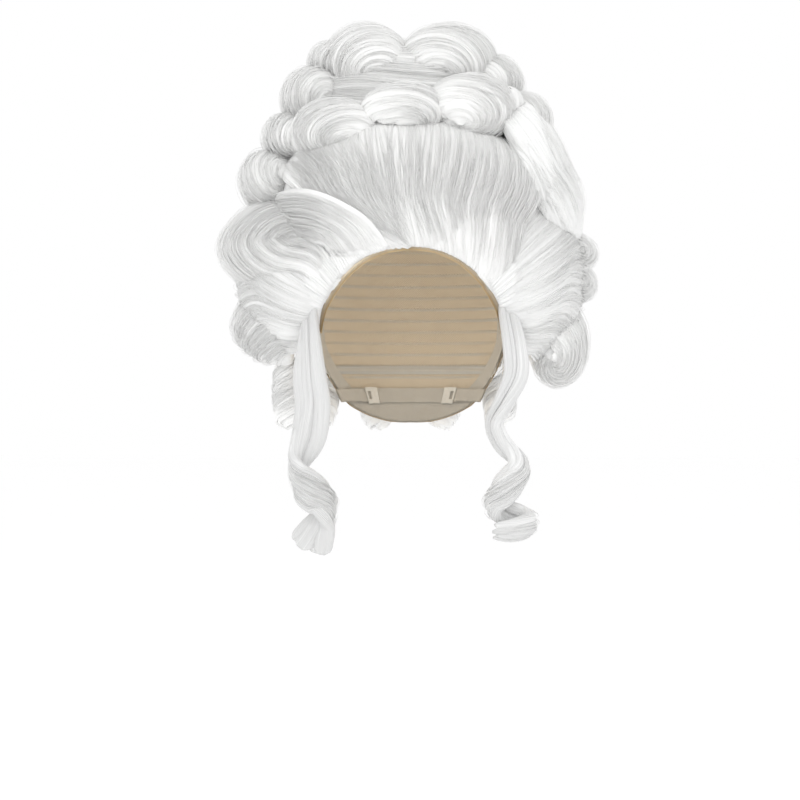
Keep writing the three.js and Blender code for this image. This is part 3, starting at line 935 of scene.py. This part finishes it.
RINGLET_OVERLAP = 3  # how many rings of each piece run on inside the other
RINGLET_RINGS = 120
RINGLET_LAYERS = 8
RINGLET_DEPTH = 0.004


def ribbon(stations, sign):
    """Several layered locks that follow one flat, turning path. Each has its own shift, width and length."""
    count, rings = RINGLET_LAYERS, RINGLET_RINGS
    path = curve(stations, rings)
    spine = path[:, :3] * (0.001 * sign, 0.001, 0.001)
    angle = np.radians(path[:, 3])
    out = np.stack([-sign * np.cos(angle), np.sin(angle), 0 * angle], axis=1)
    half_width = path[:, 4] / 1000
    side, face = frames(Locks(spine[None], out[None], half_width, half_width))
    t = share_along(count, rings)
    at = t * RNG.uniform(0.95, 1.0, (count, 1)) * (rings - 1)
    spine, side, face, out, half_width = (
        between(values, 0, at) for values in (spine[None], side, face, out[None], half_width[None])
    )
    wander = 0.12 * np.sin(2 * math.pi * (1.5 * t + RNG.uniform(0, 1, (count, 1))))
    across = np.linspace(-0.6, 0.6, count)[:, None] + wander
    lift = RNG.normal(0, 0.0012, (count, 1)) + 0.0012 * np.cos(math.pi * across)
    spine = spine + side * (across * half_width)[..., None] + face * lift[..., None]
    taper = np.sqrt(np.clip(1 - t**24, 0.05, 1))
    width = RNG.uniform(0.36, 0.54, (count, 1)) * half_width * taper
    return Locks(spine, out, width, RINGLET_DEPTH * swell(t, 0.6, 0.6) * taper)


def ringlet_piece(locks, skins, cut, way, wild):
    """The part of a ringlet above the cut, or with a way of -1 the part below it. Past the cut it is drawn
    in, so that it ends inside the other part."""
    rings, run_on = slice(0, cut), slice(0, cut + RINGLET_OVERLAP)
    if way < 0:
        rings, run_on = slice(cut, None), slice(cut - RINGLET_OVERLAP, None)
    points, place, tone = skins
    past = np.clip(way * (np.arange(RINGLET_RINGS) - cut), 0, RINGLET_OVERLAP) / RINGLET_OVERLAP
    middle = locks.spine[:, :, None]
    points = middle + (points - middle) * (1 - 0.25 * past)[None, :, None, None]
    hair = Hair()
    hair.add_tubes(*(values[:, run_on] for values in (points, place, tone)))
    hair.add_strands(Locks(*(values[:, rings] for values in locks)), 160, wild, lift=(0, 0.0005))
    return hair


def add_ringlets():
    """The two long ringlets before the ears, each of two pieces that meet at a cut."""
    for side, sign, stations in (("left", -1, RINGLET_LEFT), ("right", 1, RINGLET_RIGHT)):
        locks = ribbon(stations, sign)
        # A low tone darkens both ringlets all over: painted shade.
        skins = lock_skins(locks, tone=-0.55, two_faced=True)
        cut = int(np.argmin(np.abs(locks.spine[0, :, 2] - RINGLET_CUT)))
        upper = ringlet_piece(locks, skins, cut, 1, FLYAWAY / 2)
        lower = ringlet_piece(locks, skins, cut, -1, FLYAWAY)
        wig_end = upper.finish(f"hair_ringlet_upper_{side}")
        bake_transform(wig_end)
        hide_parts(f"ringlet_upper_{side}")
        tip = lower.finish(f"hair_ringlet_lower_{side}")
        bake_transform(tip)
        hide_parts(f"ringlet_lower_{side}")


NAPE_CURLS = 5
NAPE_WINDING = 430  # degrees that the ribbons of a nape curl turn through


def nape_ribbons(centre, half, hand):
    """Broad ribbons wound down an upright axis, drawn in at both ends."""
    count, rings = 6, 70
    t = share_along(count, rings)
    start = 2 * math.pi * (np.arange(count)[:, None] / count + RNG.uniform(0, 1))
    turn = start + math.radians(NAPE_WINDING) * t * hand
    barrel = np.clip(1 - np.abs(2 * t - 1) ** 3, 0.12, 1) ** 0.5
    radius = (half[0] - 0.0008) * barrel * RNG.uniform(0.92, 1.04, (count, 1))
    out = np.stack([np.cos(turn), np.sin(turn), 0 * turn], axis=-1)
    spine = centre + radius[..., None] * out
    top, bottom = centre[2] + half[2] + 0.008, centre[2] - half[2] + 0.002
    spine[..., 2] = top + (bottom - top) * t * RNG.uniform(0.93, 1.05, (count, 1))
    thick = swell(t, 0.7, 0.35)
    return Locks(spine, out, 0.0074 * thick, 0.002 * thick)


def add_nape_curls():
    """Short curls round the nape."""
    for i in range(NAPE_CURLS):
        node = f"nape_curl_{i + 1}"
        centre, half = centre_half(node)
        locks = nape_ribbons(centre, half, 1 if i % 2 else -1)
        hair = Hair(node, 0.93)
        hair.add_locks(locks)
        hair.add_strands(locks, 90, FLYAWAY / 2, rings=40)
        piece = hair.finish(f"hair_{node}")
        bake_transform(piece)
        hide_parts(node)


# ---- the cap

CLOTH_GRAIN = 0.005  # longest edge on a sheet of the cap
FACING = 0.5  # a face whose normal is less than this along the head's own is part of a sheet's edge
CLOTH_TURN, CLOTH_RISE = 86, 100  # millimetres of cloth in a radian round the head, and in one up it
CLOTH_TOP = 0.715  # share of the head's half height above which the weave lies as seen from above

# Sheets of the cap: node names, slot, and how far from the head's surface their faces lie in millimetres.
SHEETS = [
    (("cap_crown_net", "cap_front_net", "cap_side_net_left", "cap_side_net_right"), "net", 0, 1),
    (("cap_back_net", "cap_nape_net"), "net", 0, 1),
    (("hairline_band",), "band", -1.4, -0.4),
    (("nape_band",), "elastic", -1.4, -0.4),
    (("pocket_tape",), "elastic", -2.6, -1.8),
    (("weft_track_1", "weft_track_2", "weft_track_3", "weft_track_4"), "weft", 1.4, 2.4),
]
# The same for the sheets that move, each with its own body.
MOVING_SHEETS = [
    ("ear_tab", "band", 0, 1, "ear_tab_{}_body"),
    ("ear_tab_stay", "plastic", -1.4, -0.4, "ear_tab_{}_body"),
    ("adjuster_strap", "elastic", -4.0, -3.0, "adjuster_strap_{}_body"),
    ("adjuster_hook", "plastic", -4.0, -3.0, "adjuster_hook_{}_body"),
]


def on_head(direction, level):
    """Points at a level outside the head's surface, and the way out of it there."""
    direction = unit(direction)
    return HEAD_CENTRE + (HEAD_HALF + level) * direction, unit(direction / HEAD_HALF)


def sheet_surface(node, inside, outside):
    """A sheet of the cap, cut finer and laid smoothly on the head's surface."""
    grid = bmesh.new()
    grid.from_mesh(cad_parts[node].data)
    for _ in range(6):
        bmesh.ops.triangulate(grid, faces=grid.faces)
        long = [edge for edge in grid.edges if edge.calc_length() > CLOTH_GRAIN]
        if not long:
            break
        bmesh.ops.subdivide_edges(grid, edges=long, cuts=1)
    bmesh.ops.triangulate(grid, faces=grid.faces)
    for corner in grid.verts:
        place = np.array(corner.co) - HEAD_CENTRE
        facing = [np.dot(face.normal, unit(place / HEAD_HALF**2)) for face in corner.link_faces]
        level = outside if sum(part for part in facing if abs(part) > FACING) > 0 else inside
        corner.co = on_head(place / (HEAD_HALF + level), level)[0]
    mesh = bpy.data.meshes.new("sheet")
    grid.to_mesh(mesh)
    grid.free()
    arrays = mesh_arrays(mesh)
    bpy.data.meshes.remove(mesh)
    return arrays


def cloth_place(points):
    """Millimetres across and along a sheet, for its weave."""
    away = (points - HEAD_CENTRE) / HEAD_HALF
    turn = np.arctan2(away[:, 0], away[:, 1])
    rise = np.arctan2(away[:, 2], np.hypot(away[:, 0], away[:, 1]))
    top = away[:, 2] > CLOTH_TOP
    across = np.where(top, 1000 * points[:, 0], CLOTH_TURN * turn)
    along = np.where(top, 1000 * points[:, 1], CLOTH_RISE * rise)
    return np.stack([across, along, 1000 * points[:, 2]], axis=1)


def sheet(node, slot, inside, outside):
    """The cloth or plastic sheet that stands for a node of the cap."""
    piece = Hair()
    points, loops, sizes = sheet_surface(node, inside / 1000, outside / 1000)
    piece.add_surface(points, cloth_place(points), 0.0, loops, sizes)
    made = piece.finish(f"cloth_{node}", slot)
    made.data.set_sharp_from_angle(angle=math.radians(50))
    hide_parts(node)
    return made


def add_sheets():
    """The sheets of the cap, and the tabs, stays, straps and hooks that move on it."""
    for nodes, slot, inside, outside in SHEETS:
        for node in nodes:
            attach(sheet(node, slot, inside, outside), WIG)
    for side in ("left", "right"):
        for name, slot, inside, outside, body in MOVING_SHEETS:
            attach(sheet(f"{name}_{side}", slot, inside, outside), body.format(side))


def add_riser():
    """The pad of foam inside the crown, which carries the high hair."""
    riser = Hair()
    points, loops, sizes = rounded_solid("foam_riser")
    riser.add_surface(points, 1000 * points, 0.0, loops, sizes)
    piece = riser.finish("foam_riser_pad", "foam")
    fixed(piece, "foam_riser")


# The cap's lower edge in the side view, as Y and Z in millimetres, before the ear and behind it.
RIM_FRONT = [(-80, -49), *HAIRLINE[2:]]
RIM_BACK = [(20, -108), (32, -124), (42, -146), (52, -166), (66, -178)]
FOREHEAD_LEVEL, EAR_LEVEL = -52, -112
SEAMS_LEVEL = ((-24.2, -200), (-138.2, 38))  # level and foremost Y of each seam that runs round the cap
SEAMS_UPRIGHT = ((-32.2, -108), (44.2, -144))  # Y and lowest level of each seam that runs up both its sides
SEAM_LIFT, ROW_LIFT = -0.0007, -0.0002  # metres that tapes and rows of stitching lie from the head's surface
TAPE_WIDTH, TAPE_THICKNESS = 7, 0.7  # millimetres
TAPE_STITCHING = 2.4  # millimetres from the middle of a tape to the thread on it
ROW_LEVELS = range(-36, -166, -9)
ROW_FOREHEAD = -80  # the foremost Y of the rows above the forehead
STITCH_PITCH, STITCH_SWING = 2.6, 1.3  # millimetres
STITCH_RADIUS = 0.00022  # metres


def level_arc(level, y_front, lift):
    """Points round the cap at one level, from its front edge on one side to that on the other."""
    rise = (level / 1000 - HEAD_CENTRE[2]) / (HEAD_HALF[2] + lift)
    radius = math.sqrt(1 - rise**2)
    reach = (y_front / 1000 - HEAD_CENTRE[1]) / (HEAD_HALF[1] * radius)
    end = math.acos(max(-0.999, min(0.99, reach)))
    turn = np.linspace(-end, end, 240)
    direction = np.stack([radius * np.sin(turn), radius * np.cos(turn), rise + 0 * turn], axis=1)
    return on_head(direction, lift)


def side_arc(y, low, lift, sign):
    """Points up one side of the cap at one Y, from the rim to the crown net."""
    across = (y / 1000 - HEAD_CENTRE[1]) / (HEAD_HALF[1] + lift)
    z = (np.linspace(low, -26, 140) / 1000 - HEAD_CENTRE[2]) / (HEAD_HALF[2] + lift)
    x = sign * np.sqrt(np.clip(1 - across**2 - z**2, 0, 1))
    return on_head(np.stack([x, across + 0 * x, z], axis=1), lift)


def distances(points):
    """How far along a line of points each of them is."""
    return np.concatenate([[0], np.cumsum(np.linalg.norm(np.diff(points, axis=0), axis=1))])


def add_thread(piece, points, out, shift=0.0):
    """A zigzag thread along a line of points, swinging to both sides of it. The shift is in millimetres."""
    along = distances(points)
    turns = max(4, int(1000 * along[-1] / STITCH_PITCH * 2))
    at = np.linspace(0, along[-1], 3 * turns + 1)
    line = np.stack([np.interp(at, along, part) for part in points.T], axis=1)
    face = unit(np.stack([np.interp(at, along, part) for part in out.T], axis=1))
    side = unit(np.cross(np.gradient(line, axis=0), face))
    wave = np.arange(3 * turns + 1) / 3
    swung = (np.abs(wave % 2 - 1) * 2 - 1) * STITCH_SWING / 1000 + shift / 1000
    line = line + side * swung[:, None]
    piece.add_lines(line[None], face[None], STITCH_RADIUS)


def tape(points, out):
    """A flat tape along a line of points, as one tube with its places."""
    side = unit(np.cross(np.gradient(points, axis=0), out))
    corners = [(-1, -0.6), (-0.97, -1), (0.97, -1), (1, -0.6), (1, 0.6), (0.97, 1), (-0.97, 1), (-1, 0.6)]
    across, height = (np.array(corners) * (TAPE_WIDTH / 2000, TAPE_THICKNESS / 2000)).T
    rings = points[:, None] + side[:, None] * across[:, None] + out[:, None] * height[:, None]
    along = 1000 * distances(points)[:, None]
    place = np.stack(np.broadcast_arrays(1000 * across, along, 1000 * height), axis=-1)
    return rings[None], place[None], 0.0


def row_front(level):
    """The foremost Y of the row of stitching at a level, a little inside the cap's edge."""
    if level > FOREHEAD_LEVEL:
        return ROW_FOREHEAD
    rim, inset = (RIM_FRONT, 12) if level > EAR_LEVEL else (RIM_BACK, 18)
    y, z = np.array(rim).T
    return np.interp(-level, -z, y) + inset


def add_seams():
    """Tapes over the seams between the nets, rows of stitching, and the thread that holds the bands."""
    tapes, thread = Hair(), Hair()
    lines = [level_arc(level, y, SEAM_LIFT) for level, y in SEAMS_LEVEL]
    lines += [side_arc(y, low, SEAM_LIFT, sign) for y, low in SEAMS_UPRIGHT for sign in (-1, 1)]
    for points, out in lines:
        tapes.add_tubes(*tape(points, out))
        for sign in (-1, 1):
            add_thread(thread, points - 0.0004 * out, out, sign * TAPE_STITCHING)
    for level in ROW_LEVELS:
        add_thread(thread, *level_arc(level, row_front(level), ROW_LIFT))
    for name, made, slot in (("seam_tapes", tapes, "elastic"), ("stitching", thread, "weft")):
        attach(made.finish(f"cap_{name}", slot), WIG)


PATCH_HOLE, PATCH_FLAT, PATCH_BRIM = mm(4, 18.4, 19)  # radii of the crown patch's rings
PATCH_STITCHING = 0.0172  # radius of the thread's line on it


def add_patch():
    """The crown patch: a round of net with a soft edge that runs out to the cap."""
    turn = np.linspace(0, 2 * math.pi, 72, endpoint=False)
    circle = np.stack([np.cos(turn), np.sin(turn), 0 * turn], axis=1)
    hole, flat, brim = PATCH_HOLE * circle, PATCH_FLAT * circle, PATCH_BRIM * circle
    rise = (0.0006 - HEAD_CENTRE[2]) / HEAD_HALF[2]
    cap = (HEAD_CENTRE + HEAD_HALF * math.sqrt(1 - rise**2) * circle) * (1, 1, 0)
    rings = (hole, flat, brim, cap, cap, brim, flat, hole)
    levels = (0, 0, 0.25, 0.3, 0.7, 0.95, 1.2, 1.2)
    points = np.stack([ring + mm(0, 0, level) for ring, level in zip(rings, levels)])[None]
    piece = Hair()
    piece.add_tubes(points, 1000 * points, 0.0)
    seam = PATCH_STITCHING * np.concatenate([circle, circle[:1]])
    add_thread(piece, seam, np.broadcast_to((0, 0, -1.0), seam.shape))
    fixed(piece.finish("cloth_crown_patch", "net"), "crown_patch")


# ---- build

add_camera()
add_studio()
add_floor()
MATERIALS = all_materials()
add_swirls()
add_barrels()
add_roll_left()
add_rolls_right()
add_pompadour()
add_sides()
add_lower_left()
add_sweep()
add_back()
add_crown()
add_ringlets()
add_nape_curls()
add_sheets()
add_riser()
add_seams()
add_patch()
